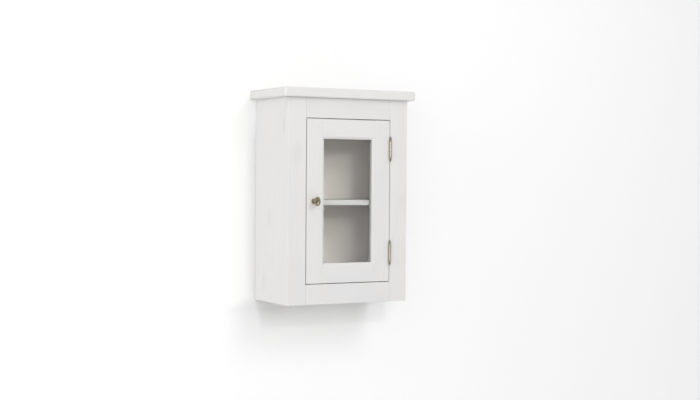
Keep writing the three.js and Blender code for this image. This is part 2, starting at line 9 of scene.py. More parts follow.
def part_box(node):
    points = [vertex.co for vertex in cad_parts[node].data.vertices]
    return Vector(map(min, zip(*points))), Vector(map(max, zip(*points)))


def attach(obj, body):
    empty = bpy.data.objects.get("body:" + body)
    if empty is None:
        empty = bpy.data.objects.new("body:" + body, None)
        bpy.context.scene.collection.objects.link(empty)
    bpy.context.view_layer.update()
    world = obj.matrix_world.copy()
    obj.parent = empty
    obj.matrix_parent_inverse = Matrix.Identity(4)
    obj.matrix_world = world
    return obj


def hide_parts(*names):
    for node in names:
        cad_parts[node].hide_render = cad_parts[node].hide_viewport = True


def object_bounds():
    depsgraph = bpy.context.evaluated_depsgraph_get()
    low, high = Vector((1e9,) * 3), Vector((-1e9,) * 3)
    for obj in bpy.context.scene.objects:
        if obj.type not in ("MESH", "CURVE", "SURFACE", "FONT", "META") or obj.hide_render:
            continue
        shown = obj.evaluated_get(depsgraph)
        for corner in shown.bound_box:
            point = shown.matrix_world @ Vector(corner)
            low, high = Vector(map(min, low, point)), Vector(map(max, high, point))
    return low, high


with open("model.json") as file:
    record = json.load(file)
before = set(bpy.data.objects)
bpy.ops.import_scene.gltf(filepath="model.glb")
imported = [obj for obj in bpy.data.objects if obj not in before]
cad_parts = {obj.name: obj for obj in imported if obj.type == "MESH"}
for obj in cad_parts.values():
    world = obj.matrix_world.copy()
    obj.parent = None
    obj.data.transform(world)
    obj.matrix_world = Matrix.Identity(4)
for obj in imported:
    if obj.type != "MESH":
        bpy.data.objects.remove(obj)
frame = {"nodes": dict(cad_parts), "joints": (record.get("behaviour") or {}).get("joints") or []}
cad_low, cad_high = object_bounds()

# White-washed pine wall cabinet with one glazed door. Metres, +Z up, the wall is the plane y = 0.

MM = 0.001

# ---------------------------------------------------------------- sizes

# Easing of the boards' edges
SEAM = 0.55 * MM
UNDER_TOP = 1.4 * MM
CRISP = 1.0 * MM
SOFT = 2.2 * MM
EASE_SEGMENTS = 4
TOP_CORNER = 10 * MM
TOP_EDGE = 4 * MM
TOP_CORNER_STEPS = 10
TENON_LENGTH = 15 * MM
GLASS_EASE = 0.5 * MM

# Tolerances for finding edges and joining corners, and the angles past which shading is sharp
SAME_PLANE = 1e-5
SAME_LEVEL = 1e-6
SAME_CORNER = 2e-6
SAME_POINT = 1e-6
SAME_FACE = math.radians(0.5)
SQUARE_ON = 0.9999
CREASE = math.radians(38)
KNOB_CREASE = math.radians(55)

# Hinges
AXIS = Vector(frame["joints"][0]["pos_m"])
HINGES = ("upper", "lower")
BARREL_RADIUS = 4 * MM
BARREL_LENGTH = 50 * MM
DOOR_KNUCKLE = 16.5 * MM
KNUCKLE_GAP = 0.35 * MM
CLEARANCE = 0.25 * MM
LEAF_THICK = 0.75 * MM
LEAF_WIDTH = 18 * MM

# Screws and pins
SCREW_HEAD = 2.7 * MM
CROSS_WIDTH = 0.7 * MM
CROSS_DEPTH = 1.1 * MM
CROSS_REACH = 1.15
SCREW_SPIN = 0.7
PIN_RADIUS = 2.5 * MM

scene = bpy.context.scene


def hinge_middle(word):
    """The middle of the upper or lower hinge, on its axis."""
    low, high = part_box(f"{word}_hinge_frame_leaf")
    return Vector((AXIS.x, AXIS.y, (low.z + high.z) / 2))


# ---------------------------------------------------------------- camera

CAMERA_PLACE = Vector((-1.902, -3.745, -0.205))
CAMERA_AZIMUTH = math.radians(28.48)
CAMERA_PITCH = math.radians(-1.04)
CAMERA_ROLL = math.radians(0.40)
CAMERA_LENS = 67.6


def add_camera():
    data = bpy.data.cameras.new("camera")
    data.lens = CAMERA_LENS
    data.sensor_width = 36.0
    camera = bpy.data.objects.new("camera", data)
    scene.collection.objects.link(camera)
    turn = (
        Matrix.Rotation(-CAMERA_AZIMUTH, 4, "Z")
        @ Matrix.Rotation(math.pi / 2 + CAMERA_PITCH, 4, "X")
        @ Matrix.Rotation(CAMERA_ROLL, 4, "Z")
    )
    camera.matrix_world = Matrix.Translation(CAMERA_PLACE) @ turn
    scene.camera = camera


# ---------------------------------------------------------------- node helpers

# The colour sockets of a Mix node: factor, first and second, and the result
MIX_INPUTS = (0, 6, 7)
MIX_RESULT = 2


class Graph:
    """Small helper that adds and links nodes in one tree."""

    def __init__(self, tree):
        self.tree = tree

    def add(self, kind, settings=None, **links):
        node = self.tree.nodes.new(kind)
        for key, value in (settings or {}).items():
            setattr(node, key, value)
        for key, value in links.items():
            self.put(node, key.replace("_", " "), value)
        return node

    def put(self, node, key, value):
        """Links or sets the input called key, or the one with that number."""
        socket = node.inputs[key]
        if isinstance(value, bpy.types.NodeSocket):
            self.tree.links.new(value, socket)
        elif isinstance(value, bpy.types.Node):
            self.tree.links.new(value.outputs[0], socket)
        else:
            socket.default_value = value

    def math(self, operation, *values):
        node = self.add("ShaderNodeMath", {"operation": operation})
        for number, value in enumerate(values):
            self.put(node, number, value)
        return node.outputs[0]

    def vector(self, operation, *values):
        node = self.add("ShaderNodeVectorMath", {"operation": operation})
        for number, value in enumerate(values):
            self.put(node, number, value)
        return node.outputs[0]

    def ramp(self, value, low, high, start=0.0, end=1.0):
        """Maps value from low..high to start..end, held at the ends."""
        node = self.add("ShaderNodeMapRange", {"clamp": True})
        for number, part in enumerate((value, low, high, start, end)):
            self.put(node, number, part)
        return node.outputs[0]

    def blend(self, factor, first, second):
        """Mixes two colours: first where the factor is 0, second where it is 1."""
        node = self.add("ShaderNodeMix", {"data_type": "RGBA"})
        for number, value in zip(MIX_INPUTS, (factor, first, second)):
            self.put(node, number, value)
        return node.outputs[MIX_RESULT]


def rgb(red, green, blue):
    return (red, green, blue, 1.0)


def new_material(name):
    """A material, its graph and its Principled shader."""
    material = bpy.data.materials.new(name)
    material.use_nodes = True
    graph = Graph(material.node_tree)
    shader = next(n for n in material.node_tree.nodes if n.type == "BSDF_PRINCIPLED")
    return material, graph, shader


def noise(graph, vector, scale, detail, roughness):
    node = graph.add("ShaderNodeTexNoise", Vector=vector, Scale=scale, Detail=detail,
                     Roughness=roughness)
    return node.outputs[0]


def stretched(graph, vector, scale):
    """The vector scaled, so that a pattern on it is drawn out along the lesser numbers."""
    return graph.add("ShaderNodeMapping", {"vector_type": "POINT"}, Vector=vector, Scale=scale)


# ---------------------------------------------------------------- white-washed pine

# Base colours of the wood under its wash, before a board's own tone
WARM_WOOD = (0.746, 0.736, 0.718)
COOL_WOOD = (0.720, 0.717, 0.726)
STREAK = (0.684, 0.676, 0.672)
GROWTH_LINE = (0.600, 0.575, 0.545)
FIBRE = (0.590, 0.575, 0.560)
KNOT = (0.580, 0.572, 0.590)
THICK_WASH = (0.800, 0.792, 0.776)
JOINT_SHADE = (0.420, 0.400, 0.380)
WHITEST = 0.95

# How much of each shows in the colour, the knots and joints by board
STREAK_SHARE = 0.35
LINE_SHARE = 0.06
FIBRE_SHARE = 0.12
RUBBED_WASH = 0.1
WHOLE_WASH = 0.5
KNOTS = 0.22
FAINT_KNOTS = 0.10
PLY_KNOTS = 0.12
JOINTS = 0.6
FAINT_JOINT = 0.12
NO_JOINT = 0.0

# Growth rings: radians per metre of radius, the heart line's lean and wander, and the shift that
# gives each numbered board its own stretch of wood
RING_RATE = 1150.0
LEAN_RATE = 2.1
LEAN = 0.035
WANDER = 0.05
NUMBER_SHIFT = (0.31, 0.47, 0.83)
HEART = (0.13, 0.09)
PLY_NUMBER = 20

# Stretch of each pattern, with the grain along the third number
WANDER_SCALE = (9.0, 9.0, 2.2)
FIBRE_SCALE = (700.0, 700.0, 14.0)
STREAK_SCALE = (70.0, 70.0, 2.4)
PATCH_SCALE = (9.0, 9.0, 3.0)
KNOT_SCALE = (1.0, 1.0, 0.6)
KNOTS_PER_METRE = 9.0
RUB_SCALE = (160.0, 160.0, 30.0)

LINE_SHARPNESS = 2.5
KNOT_SIZE = (0.10, 0.26)
KNOT_SHARPNESS = 1.6
WASHED_EDGE = 2.2 * MM
JOINT_CORE = 0.35 * MM
JOINT_WIDTH = 0.8 * MM
GRAIN_DEPTH = 0.22 * MM

# A board's tone multiplies its colours; the shelf's and the back panel's tones paint shade and
# light.
EVEN_TONE = (1.0, 1.0, 1.0)
DULL_TONE = (0.96, 0.955, 0.95)
# The shelf's darker tone is painted shade, the shade of the door frame in front of it
SHADED_SHELF_TONE = (0.77, 0.765, 0.755)
# The back panel's tone: warm like the ply, and brighter than the boards as painted light inside
PLY_TONE_AND_LIGHT = (1.26, 1.20, 1.14)
GRAIN_TURN = {
    "x": (0.0, math.pi / 2, 0.0),
    "z": (0.0, 0.0, 0.0),
}


def edge_distance(graph, place, low, high):
    """Distance from a point on a board's surface to the board's nearest edge."""
    centre = (low + high) / 2
    half = (high - low) / 2
    offset = graph.vector("ABSOLUTE", graph.vector("SUBTRACT", place, tuple(centre)))
    inside = graph.vector("SUBTRACT", tuple(half), offset)
    parts = graph.add("ShaderNodeSeparateXYZ", Vector=inside).outputs
    lesser = graph.math("MINIMUM", parts[0], parts[1])
    greater = graph.math("MAXIMUM", parts[0], parts[1])
    return graph.math("MAXIMUM", lesser, graph.math("MINIMUM", greater, parts[2]))


def washed_pine(name, box, grain, number, tone=EVEN_TONE, knots=KNOTS, joints=JOINTS):
    """Pine under a thin white wash: growth lines, fibres, cool and warm patches, faint knots."""
    def shade(colour):
        return rgb(*[min(part * share, WHITEST) for part, share in zip(colour, tone)])

    low, high = box
    material, graph, shader = new_material(name)
    place = graph.add("ShaderNodeTexCoord").outputs["Object"]
    shift = tuple(number * part for part in NUMBER_SHIFT)
    turned = graph.add("ShaderNodeMapping", Vector=place, Rotation=GRAIN_TURN[grain],
                       Location=shift)

    # Growth rings round a heart line that lies beside the board and leans a little.
    wander = noise(graph, stretched(graph, turned, WANDER_SCALE), 1.0, 2.0, 0.5)
    wander = graph.math("MULTIPLY", graph.math("SUBTRACT", wander, 0.5), WANDER)
    parts = graph.add("ShaderNodeSeparateXYZ", Vector=turned).outputs
    lean = graph.math("SINE", graph.math("MULTIPLY", parts[2], LEAN_RATE))
    lean = graph.math("MULTIPLY", lean, LEAN)
    across = graph.math("ADD", graph.math("SUBTRACT", parts[0], HEART[0] + shift[0]), lean)
    through = graph.math("SUBTRACT", parts[1], HEART[1] + shift[1])
    radius = graph.math("SQRT", graph.math("ADD", graph.math("MULTIPLY", across, across),
                                           graph.math("MULTIPLY", through, through)))
    radius = graph.math("ADD", radius, wander)
    rings = graph.math("SINE", graph.math("MULTIPLY", radius, RING_RATE))
    lines = graph.math("POWER", graph.ramp(rings, -1.0, 1.0), LINE_SHARPNESS)

    fibres = noise(graph, stretched(graph, turned, FIBRE_SCALE), 1.0, 3.0, 0.6)
    streaks = noise(graph, stretched(graph, turned, STREAK_SCALE), 1.0, 3.0, 0.55)
    patches = noise(graph, stretched(graph, turned, PATCH_SCALE), 1.0, 2.0, 0.5)

    # Knots: a few soft ovals, drawn out along the grain.
    cells = graph.add("ShaderNodeTexVoronoi", {"feature": "F1", "voronoi_dimensions": "3D"},
                      Vector=stretched(graph, turned, KNOT_SCALE), Scale=KNOTS_PER_METRE,
                      Randomness=1.0)
    knot = graph.ramp(cells.outputs["Distance"], *KNOT_SIZE, 1.0, 0.0)
    knot = graph.math("MULTIPLY", graph.math("POWER", knot, KNOT_SHARPNESS), knots)

    colour = graph.blend(graph.ramp(patches, 0.44, 0.70), shade(WARM_WOOD), shade(COOL_WOOD))
    streak = graph.ramp(streaks, 0.52, 0.78, 0.0, STREAK_SHARE)
    colour = graph.blend(streak, colour, shade(STREAK))
    colour = graph.blend(graph.math("MULTIPLY", lines, LINE_SHARE), colour, shade(GROWTH_LINE))
    fibre = graph.ramp(fibres, 0.55, 0.80, 0.0, FIBRE_SHARE)
    colour = graph.blend(fibre, colour, shade(FIBRE))
    colour = graph.blend(knot, colour, shade(KNOT))

    # The wash lies thicker and brighter near the eased edges, with rubbed spots, and the joints
    # between boards hold a little shade.
    distance = edge_distance(graph, place, low, high)
    edge = graph.ramp(distance, 0.0, WASHED_EDGE, 1.0, 0.0)
    rub = noise(graph, stretched(graph, turned, RUB_SCALE), 1.0, 2.0, 0.5)
    wash = graph.ramp(rub, 0.30, 0.55, RUBBED_WASH, WHOLE_WASH)
    bright = graph.math("MULTIPLY", edge, wash)
    colour = graph.blend(bright, colour, shade(THICK_WASH))
    joint = graph.ramp(distance, JOINT_CORE, JOINT_WIDTH, joints, 0.0)
    colour = graph.blend(joint, colour, shade(JOINT_SHADE))
    graph.put(shader, "Base Color", colour)

    rough = graph.math("ADD", graph.ramp(streaks, 0.3, 0.7, 0.44, 0.54),
                       graph.math("MULTIPLY", lines, 0.06))
    graph.put(shader, "Roughness", rough)
    height = graph.math("ADD", graph.math("MULTIPLY", lines, -0.5),
                        graph.math("MULTIPLY", fibres, 0.8))
    height = graph.math("ADD", height, graph.math("MULTIPLY", streaks, 0.6))
    bump = graph.add("ShaderNodeBump", Strength=0.35, Distance=GRAIN_DEPTH, Height=height)
    graph.put(shader, "Normal", bump)
    shader.inputs["Specular IOR Level"].default_value = 0.42
    return material


# ---------------------------------------------------------------- metals, glass and plastics

# Size of each pattern, in noise cells per metre, and the depth of the finest marks
CLOUDS = 210.0
SPECKS = 900.0
FINE_SPECKS = 1300.0
GLASS_HAZE = 14.0
PLASTIC_CLOUDS = 90.0
PLASTIC_GRAIN = 1400.0
MAGNET_GRIT = 1800.0
SPECK_DEPTH = 0.08 * MM
PLASTIC_DEPTH = 0.05 * MM

# Share of the deep colour where a mask darkens the metal, at the ends of a barrel, and as painted
# shade at the knob's waist
DARKENING_SHARE = 0.8
DARK_END_SHARE = 0.8
WAIST_SHADE_SHARE = 0.5

# Painted sheen on the barrels: a painted highlight in a strip down the middle, painted shade on
# the flanks. The strip's angle, and how far it and its fade reach to each side. The ends of a
# barrel and the finials are darker.
SHEEN_ANGLE = math.radians(28)
BRIGHT_HALF = 1.2 * MM
FADED_HALF = 2.9 * MM
DULL_END = 1.2 * MM
FINIAL_START = (1.6 * MM, 2.2 * MM)

# Painted shade at the knob's waist: how far it lies behind the front of the head, and half its
# length
KNOB_WAIST = 20 * MM
WAIST_HALF = 5 * MM


def hinge_sheen_and_darkening(graph, place):
    """1 on the finials, the barrel ends and the flanks (painted shade), 0 on the painted highlight
    strip.
    """
    from_axis = graph.vector("SUBTRACT", place, tuple(AXIS))
    parts = graph.add("ShaderNodeSeparateXYZ", Vector=from_axis).outputs
    # Painted highlight in a strip down each barrel's middle, fading to painted shade on its flanks
    turned = graph.math("SUBTRACT", graph.math("MULTIPLY", parts[0], math.cos(SHEEN_ANGLE)),
                        graph.math("MULTIPLY", parts[1], math.sin(SHEEN_ANGLE)))
    darker = graph.ramp(graph.math("ABSOLUTE", turned), BRIGHT_HALF, FADED_HALF)
    heights = []
    for word in HINGES:
        middle = hinge_middle(word).z - AXIS.z
        heights.append(graph.math("ABSOLUTE", graph.math("SUBTRACT", parts[2], middle)))
    height = graph.math("MINIMUM", *heights)
    half = BARREL_LENGTH / 2
    barrel_end = graph.math("COMPARE", height, half - DULL_END, DULL_END)
    finial = graph.ramp(height, half + FINIAL_START[0], half + FINIAL_START[1])
    darker = graph.math("MAXIMUM", darker, graph.math("MULTIPLY", barrel_end, DARK_END_SHARE))
    return graph.math("MAXIMUM", darker, finial)


def knob_waist_shade(graph, place):
    """Half-strength painted shade round the knob's waist, none on its head and its rosette."""
    depth = graph.add("ShaderNodeSeparateXYZ", Vector=place).outputs[1]
    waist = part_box("knob")[0].y + KNOB_WAIST
    at_waist = graph.math("COMPARE", depth, waist, WAIST_HALF)
    return graph.math("MULTIPLY", at_waist, WAIST_SHADE_SHARE)


def aged_metal(name, bright, worn, deep, roughness, grain=SPECKS, darkening_mask=None):
    """Plated or lacquered metal: cloudy wear, darker specks, and where a mask is given, painted
    shade and sheen.
    """
    material, graph, shader = new_material(name)
    place = graph.add("ShaderNodeTexCoord").outputs["Object"]
    clouds = noise(graph, place, CLOUDS, 4.0, 0.6)
    specks = noise(graph, place, grain, 2.0, 0.55)
    colour = graph.blend(graph.ramp(clouds, 0.36, 0.64), rgb(*bright), rgb(*worn))
    colour = graph.blend(graph.ramp(specks, 0.56, 0.74, 0.0, 0.75), colour, rgb(*deep))
    # The mask paints shade and sheen into the colour: on the hinge barrels and at the knob's waist
    if darkening_mask:
        darker = graph.math("MULTIPLY", darkening_mask(graph, place), DARKENING_SHARE)
        colour = graph.blend(darker, colour, rgb(*deep))
    graph.put(shader, "Base Color", colour)
    graph.put(shader, "Roughness", graph.ramp(clouds, 0.3, 0.7, roughness - 0.07, roughness + 0.1))
    bump = graph.add("ShaderNodeBump", Strength=0.25, Distance=SPECK_DEPTH, Height=specks)
    graph.put(shader, "Normal", bump)
    shader.inputs["Metallic"].default_value = 1.0
    return material


def clear_glass():
    """Float glass with a trace of green and a faint unevenness in its polish."""
    material, graph, shader = new_material("clear_glass")
    place = graph.add("ShaderNodeTexCoord").outputs["Object"]
    haze = noise(graph, place, GLASS_HAZE, 3.0, 0.5)
    graph.put(shader, "Roughness", graph.ramp(haze, 0.35, 0.75, 0.004, 0.02))
    tint = graph.blend(graph.ramp(haze, 0.3, 0.7), rgb(0.985, 0.992, 0.988),
                       rgb(0.970, 0.985, 0.978))
    graph.put(shader, "Base Color", tint)
    shader.inputs["Transmission Weight"].default_value = 1.0
    shader.inputs["IOR"].default_value = 1.5
    return material


def moulded_plastic():
    """Off-white plastic of the catch's case, with a fine moulded grain."""
    material, graph, shader = new_material("catch_plastic")
    place = graph.add("ShaderNodeTexCoord").outputs["Object"]
    grain = noise(graph, place, PLASTIC_GRAIN, 2.0, 0.5)
    cloud = noise(graph, place, PLASTIC_CLOUDS, 2.0, 0.5)
    colour = graph.blend(graph.ramp(cloud, 0.35, 0.65), rgb(0.80, 0.79, 0.76),
                         rgb(0.74, 0.73, 0.70))
    graph.put(shader, "Base Color", colour)
    graph.put(shader, "Roughness", graph.ramp(grain, 0.3, 0.7, 0.42, 0.55))
    bump = graph.add("ShaderNodeBump", Strength=0.2, Distance=PLASTIC_DEPTH, Height=grain)
    graph.put(shader, "Normal", bump)
    return material


def sintered_magnet():
    """Dark gritty ceramic of the catch's magnet."""
    material, graph, shader = new_material("magnet")
    place = graph.add("ShaderNodeTexCoord").outputs["Object"]
    grit = noise(graph, place, MAGNET_GRIT, 3.0, 0.6)
    colour = graph.blend(graph.ramp(grit, 0.4, 0.7), rgb(0.035, 0.035, 0.038),
                         rgb(0.11, 0.11, 0.115))
    graph.put(shader, "Base Color", colour)
    graph.put(shader, "Roughness", graph.ramp(grit, 0.3, 0.7, 0.45, 0.7))
    bump = graph.add("ShaderNodeBump", Strength=0.4, Distance=SPECK_DEPTH, Height=grit)
    graph.put(shader, "Normal", bump)
    return material


# Hinge metal: painted sheen and shade on the barrels. Knob metal: painted shade at its waist.
HINGE_METAL = aged_metal("aged_brass", (0.76, 0.69, 0.59), (0.62, 0.55, 0.45),
                         (0.20, 0.165, 0.115), roughness=0.34, darkening_mask=hinge_sheen_and_darkening)
KNOB_METAL = aged_metal("dark_brass", (0.40, 0.36, 0.26), (0.22, 0.195, 0.125),
                        (0.07, 0.058, 0.032), roughness=0.20, darkening_mask=knob_waist_shade)
ZINC = aged_metal("zinc_steel", (0.62, 0.63, 0.645), (0.52, 0.53, 0.55),
                  (0.36, 0.37, 0.39), roughness=0.36, grain=FINE_SPECKS)
GLASS = clear_glass()
PLASTIC = moulded_plastic()
MAGNET = sintered_magnet()


# ---------------------------------------------------------------- pieces

def add_piece(name, mesh, body, material, nodes=()):
    """Puts a finished mesh in the scene, rides it on its body and hides the nodes it stands for.
    A mesh that has its material already comes with None."""
    if material is not None:
        mesh.materials.clear()
        mesh.materials.append(material)
    piece = bpy.data.objects.new(name, mesh)
    scene.collection.objects.link(piece)
    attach(piece, body)
    if nodes:
        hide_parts(*nodes)
    return piece


def finished_mesh(holder):
    """The holder's evaluated mesh as plain data. The holder is thrown away."""
    depsgraph = bpy.context.evaluated_depsgraph_get()
    mesh = bpy.data.meshes.new_from_object(holder.evaluated_get(depsgraph))
    bpy.data.objects.remove(holder)
    return mesh


def on_face(vertex, face, low, high):
    """True if the vertex lies on that face of the box, such as "-y"."""
    axis = "xyz".index(face[1])
    limit = low[axis] if face[0] == "-" else high[axis]
    return abs(vertex.co[axis] - limit) < SAME_PLANE


def eased_board(node, eases):
    """A clean copy of a CAD board whose edges are rounded. eases maps a pair of faces, such as
    "-x-y", to the radius of the edge between them, and "" to the radius of all the others."""
    low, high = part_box(node)
    bm = bmesh.new()
    bm.from_mesh(frame["nodes"][node].data)
    bmesh.ops.remove_doubles(bm, verts=bm.verts, dist=SAME_CORNER)
    bmesh.ops.dissolve_limit(bm, angle_limit=SAME_FACE, verts=bm.verts, edges=bm.edges)
    layer = bm.edges.layers.float.new("bevel_weight_edge")
    widest = max(eases.values())
    faces = [sign + axis for axis in "xyz" for sign in "-+"]
    for edge in bm.edges:
        touching = [f for f in faces if all(on_face(v, f, low, high) for v in edge.verts)]
        if len(touching) < 2:
            continue
        radius = eases.get(touching[0] + touching[1], eases[""])
        edge[layer] = radius / widest
    mesh = bpy.data.meshes.new(node + "_eased")
    bm.to_mesh(mesh)
    bm.free()
    return round_weighted_edges(mesh, widest)


def round_weighted_edges(mesh, widest):
    """Rounds each edge by its bevel weight times widest, with the rounding shaded smooth."""
    flat = bpy.data.materials.new("flat")
    rounding = bpy.data.materials.new("rounding")
    mesh.materials.clear()
    mesh.materials.append(flat)
    mesh.materials.append(rounding)
    for face in mesh.polygons:
        face.material_index = 0
        face.use_smooth = False
    holder = bpy.data.objects.new("holder", mesh)
    scene.collection.objects.link(holder)
    bevel = holder.modifiers.new("ease", "BEVEL")
    bevel.limit_method = "WEIGHT"
    bevel.width = widest
    bevel.segments = EASE_SEGMENTS
    bevel.material = 1
    result = finished_mesh(holder)
    for face in result.polygons:
        face.use_smooth = face.material_index == 1
        face.material_index = 0
    result.materials.clear()
    bpy.data.materials.remove(flat)
    bpy.data.materials.remove(rounding)
    return result


BOARD_COUNT = [0]


def add_board(node, name, body, grain, eases=None, mesh=None, box=None, **look):
    """One pine board in the place of a CAD node, with its own stretch of grain. box is what shows
    of the board, if its tenons are hidden."""
    BOARD_COUNT[0] += 1
    mesh = mesh or eased_board(node, {"": SEAM, **(eases or {})})
    pine = washed_pine("pine_" + name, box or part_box(node), grain, BOARD_COUNT[0], **look)
    return add_piece(name, mesh, body, pine, (node,))


# ---------------------------------------------------------------- case

def top_board_mesh():
    """Slab with round front corners and softened edges, square where it meets the wall."""
    low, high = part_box("top_board")
    corners = [((low.x + TOP_CORNER, low.y + TOP_CORNER), math.pi),
               ((high.x - TOP_CORNER, low.y + TOP_CORNER), 1.5 * math.pi)]
    outline = [(low.x, high.y)]
    for (x, y), start in corners:
        for step in range(TOP_CORNER_STEPS + 1):
            angle = start + step / TOP_CORNER_STEPS * math.pi / 2
            outline.append((x + TOP_CORNER * math.cos(angle), y + TOP_CORNER * math.sin(angle)))
    outline.append((high.x, high.y))
    bm = bmesh.new()
    under = bm.faces.new([bm.verts.new((x, y, low.z)) for x, y in outline])
    raised = bmesh.ops.extrude_face_region(bm, geom=[under])["geom"]
    lifted = [item for item in raised if isinstance(item, bmesh.types.BMVert)]
    bmesh.ops.translate(bm, verts=lifted, vec=(0, 0, high.z - low.z))
    bmesh.ops.recalc_face_normals(bm, faces=bm.faces)
    layer = bm.edges.layers.float.new("bevel_weight_edge")
    for edge in bm.edges:
        a, b = (v.co for v in edge.verts)
        level = abs(a.z - b.z) < SAME_LEVEL
        on_wall = abs(a.y - high.y) < SAME_LEVEL and abs(b.y - high.y) < SAME_LEVEL
        if level and not on_wall:
            edge[layer] = 1.0
    mesh = bpy.data.meshes.new("top_board")
    bm.to_mesh(mesh)
    bm.free()
    mesh = round_weighted_edges(mesh, TOP_EDGE)
    for face in mesh.polygons:
        slanting = max(abs(part) for part in face.normal) < SQUARE_ON
        face.use_smooth = face.use_smooth or slanting
    return mesh


def add_case():
    """The boards of the case and its face frame. The back panel keeps its CAD mesh."""
    add_board("left_side_panel", "left_side_board", "case", "z", joints=FAINT_JOINT)
    add_board("right_side_panel", "right_side_board", "case", "z",
              knots=FAINT_KNOTS, joints=FAINT_JOINT)
    add_board("top_board", "overhanging_top_board", "case", "x", mesh=top_board_mesh(),
              knots=FAINT_KNOTS, joints=NO_JOINT)
    upright = {"-x-y": CRISP, "+x-y": CRISP, "-y+z": UNDER_TOP}
    add_board("face_left_stile", "face_frame_left", "case", "z", upright, joints=FAINT_JOINT)
    add_board("face_right_stile", "face_frame_right", "case", "z", upright, joints=FAINT_JOINT)
    add_board("face_top_rail", "face_frame_top", "case", "x",
              {"-y-z": CRISP, "-y+z": UNDER_TOP})
    add_board("face_bottom_rail", "face_frame_bottom", "case", "x", {"-y+z": CRISP})
    add_board("bottom_panel", "cabinet_floor", "case", "x", tone=DULL_TONE)
    add_board("hanging_rail", "rail_on_the_wall", "case", "x", tone=DULL_TONE)
    add_board("lower_back_rail", "lower_rail_on_the_wall", "case", "x", tone=DULL_TONE)
    add_board("shelf", "loose_shelf", "case", "x", {"-y-z": CRISP, "-y+z": CRISP},
              tone=SHADED_SHELF_TONE)
    # The back panel's brighter tone is painted light for the inside of the case
    back = frame["nodes"]["back_panel"]
    back.material_slots[0].material = washed_pine(
        "washed_ply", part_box("back_panel"), "z", PLY_NUMBER, PLY_TONE_AND_LIGHT, PLY_KNOTS, NO_JOINT)


# ---------------------------------------------------------------- door

def between_tenons(node):
    """The box of a door rail without the tenon at each end."""
    low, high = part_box(node)
    tenon = Vector((TENON_LENGTH, 0, 0))
    return low + tenon, high - tenon


def add_door():
    """The door's frame, its glazing beads and the glass, which casts no shadow."""
    add_board("door_left_stile", "door_left_upright", "door", "z", {"-x-y": SOFT})
    add_board("door_right_stile", "door_right_upright", "door", "z", {"+x-y": SOFT})
    add_board("door_top_rail", "door_top_crosspiece", "door", "x", {"-y+z": SOFT},
              box=between_tenons("door_top_rail"))
    add_board("door_bottom_rail", "door_bottom_crosspiece", "door", "x", {"-y-z": SOFT},
              box=between_tenons("door_bottom_rail"))
    for side, grain in (("left", "z"), ("right", "z"), ("top", "x"), ("bottom", "x")):
        add_board(f"glazing_bead_{side}", f"bead_{side}", "door", grain, knots=0.0)
    pane = add_piece("glass_pane", eased_board("door_glass", {"": GLASS_EASE}), "door",
                     GLASS, ("door_glass",))
    pane.visible_shadow = False


# ---------------------------------------------------------------- knob

# Across, high and out from the door, for each ring of the knob, in millimetres.
KNOB_RINGS = [
    (0, 0, 2.5), (5.4, 5.4, 2.5), (5.6, 5.6, 3.1), (5.3, 5.3, 3.9), (4.2, 4.2, 5.2),
    (3.6, 3.6, 8.0), (3.5, 3.5, 10.5), (3.8, 4.2, 12.8), (4.8, 7.0, 15.0), (6.8, 10.6, 17.2),
    (8.4, 13.1, 19.4), (9.0, 14.0, 21.6), (9.0, 14.0, 24.6), (8.7, 13.6, 26.6), (8.1, 12.8, 27.7),
    (7.5, 11.9, 28.0), (6.9, 11.0, 27.5), (5.9, 9.5, 26.3), (4.4, 7.1, 25.2), (2.8, 4.5, 24.6),
    (1.3, 2.1, 24.4), (0, 0, 24.4),
]
ROSETTE_RINGS = [
    (0, 0, 0), (8.5, 8.5, 0), (8.5, 8.5, 0.7), (8.2, 8.2, 1.2), (7.5, 7.5, 1.4), (7.1, 7.1, 1.1),
    (6.8, 6.8, 1.2), (6.2, 6.2, 2.2), (5.4, 5.4, 2.5), (0, 0, 2.5),
]
KNOB_STEPS = 56


def ringed_mesh(name, rings, centre):
    """A closed shell of oval rings that stand out from the door at centre."""
    bm = bmesh.new()
    loops = []
    for across, high, out in rings:
        loop = []
        for step in range(KNOB_STEPS):
            angle = 2 * math.pi * step / KNOB_STEPS
            spot = Vector((across * math.cos(angle), -out, high * math.sin(angle))) * MM
            loop.append(bm.verts.new(centre + spot))
        loops.append(loop)
    for first, second in zip(loops, loops[1:]):
        for step in range(KNOB_STEPS):
            after = (step + 1) % KNOB_STEPS
            bm.faces.new((first[step], first[after], second[after], second[step]))
    bmesh.ops.remove_doubles(bm, verts=bm.verts, dist=SAME_POINT)
    bmesh.ops.dissolve_degenerate(bm, edges=bm.edges, dist=SAME_POINT)
    bmesh.ops.recalc_face_normals(bm, faces=bm.faces)
    mesh = bpy.data.meshes.new(name)
    bm.to_mesh(mesh)
    bm.free()
    mesh.shade_smooth()
    mesh.set_sharp_from_angle(angle=KNOB_CREASE)
    return mesh


def add_knob():
    """The knob and the rosette under it, both centred on the CAD rosette."""
    low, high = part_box("knob_rosette")
    centre = Vector(((low.x + high.x) / 2, high.y, (low.z + high.z) / 2))
    add_piece("oval_knob", ringed_mesh("oval_knob", KNOB_RINGS, centre), "door",
              KNOB_METAL, ("knob",))
    add_piece("round_rosette", ringed_mesh("round_rosette", ROSETTE_RINGS, centre), "door",
              KNOB_METAL, ("knob_rosette",))


# ---------------------------------------------------------------- geometry node trees

def shape_tree(name, inputs):
    """An empty node tree that takes places as points, and named sizes."""
    tree = bpy.data.node_groups.new(name, "GeometryNodeTree")
    tree.interface.new_socket("Places", in_out="INPUT", socket_type="NodeSocketGeometry")
    for label, (kind, value) in inputs.items():
        socket = tree.interface.new_socket(label, in_out="INPUT", socket_type="NodeSocket" + kind)
        if value is not None:
            socket.default_value = value
    tree.interface.new_socket("Shape", in_out="OUTPUT", socket_type="NodeSocketGeometry")
    graph = Graph(tree)
    return tree, graph, graph.add("NodeGroupInput").outputs


